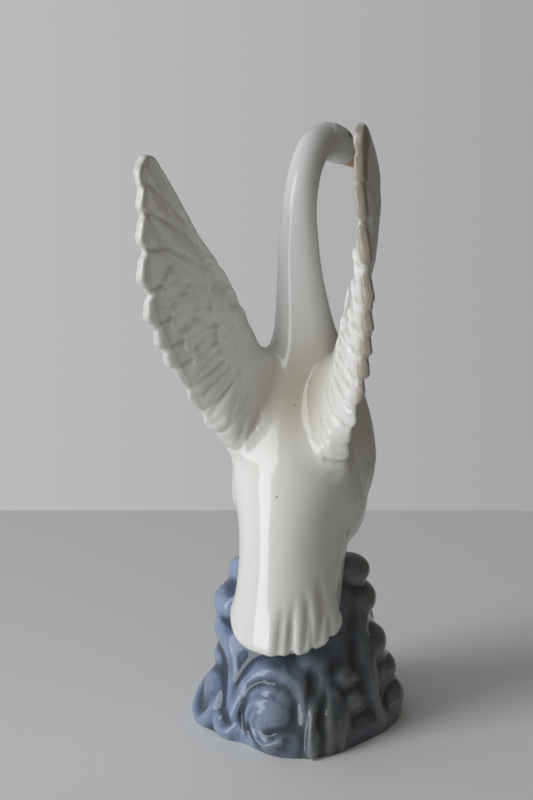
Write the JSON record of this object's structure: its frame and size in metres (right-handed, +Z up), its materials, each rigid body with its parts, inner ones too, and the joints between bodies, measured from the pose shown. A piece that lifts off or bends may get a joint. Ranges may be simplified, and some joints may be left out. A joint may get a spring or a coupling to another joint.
{
  "type": "porcelain bird figurine",
  "caption": "Glazed porcelain swan-like bird with raised wings, standing on a glazed base shaped as breaking water.",
  "frame": {"origin": "on the surface it stands on, under the middle of its bounding box", "axes": "+Z up, +Y the way the bird faces, +X to the bird's right"},
  "size_m": [0.0788, 0.106, 0.2181],
  "materials": {
    "white_glaze": "clear gloss glaze over white porcelain",
    "water_glaze": "clear gloss glaze over mottled blue-grey underglaze"
  },
  "bodies": {
    "root": {"figurine": "white_glaze"}
  },
  "joints": []
}
